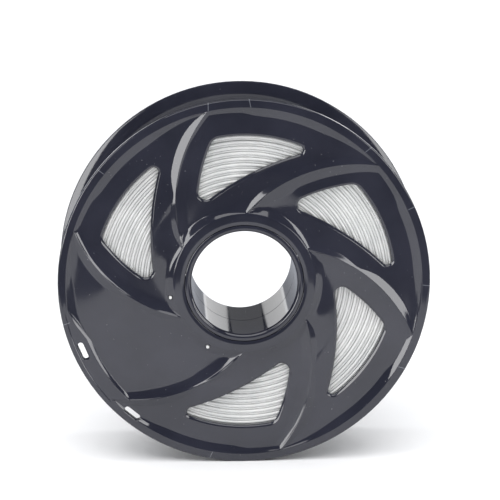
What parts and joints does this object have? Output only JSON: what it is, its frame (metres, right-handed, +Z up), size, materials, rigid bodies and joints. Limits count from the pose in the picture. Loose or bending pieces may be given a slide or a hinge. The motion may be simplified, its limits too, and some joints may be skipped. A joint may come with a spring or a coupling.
{
  "type": "filament spool",
  "caption": "Round spool of plastic filament: windowed swirl flanges joined by a hub sleeve around a wound pack of filament.",
  "frame": {"origin": "middle of the bore, which is also the middle of the spool's bounding box", "axes": "+Y runs along the bore from the front flange (the one in view) to the rear flange; +Z is up as the spool stands on its rims; +X is to the right as seen from the front"},
  "size_m": [0.2, 0.06, 0.1998],
  "materials": {
    "flange_plastic": "gloss",
    "hub_plastic": "gloss",
    "drum_plastic": "satin",
    "filament": "satin"
  },
  "bodies": {
    "root": {"front_flange": "flange_plastic", "rear_flange": "flange_plastic", "front_hub_sleeve": "hub_plastic", "rear_hub_sleeve": "hub_plastic", "winding_drum": "drum_plastic", "filament_winding": "filament"}
  },
  "joints": []
}
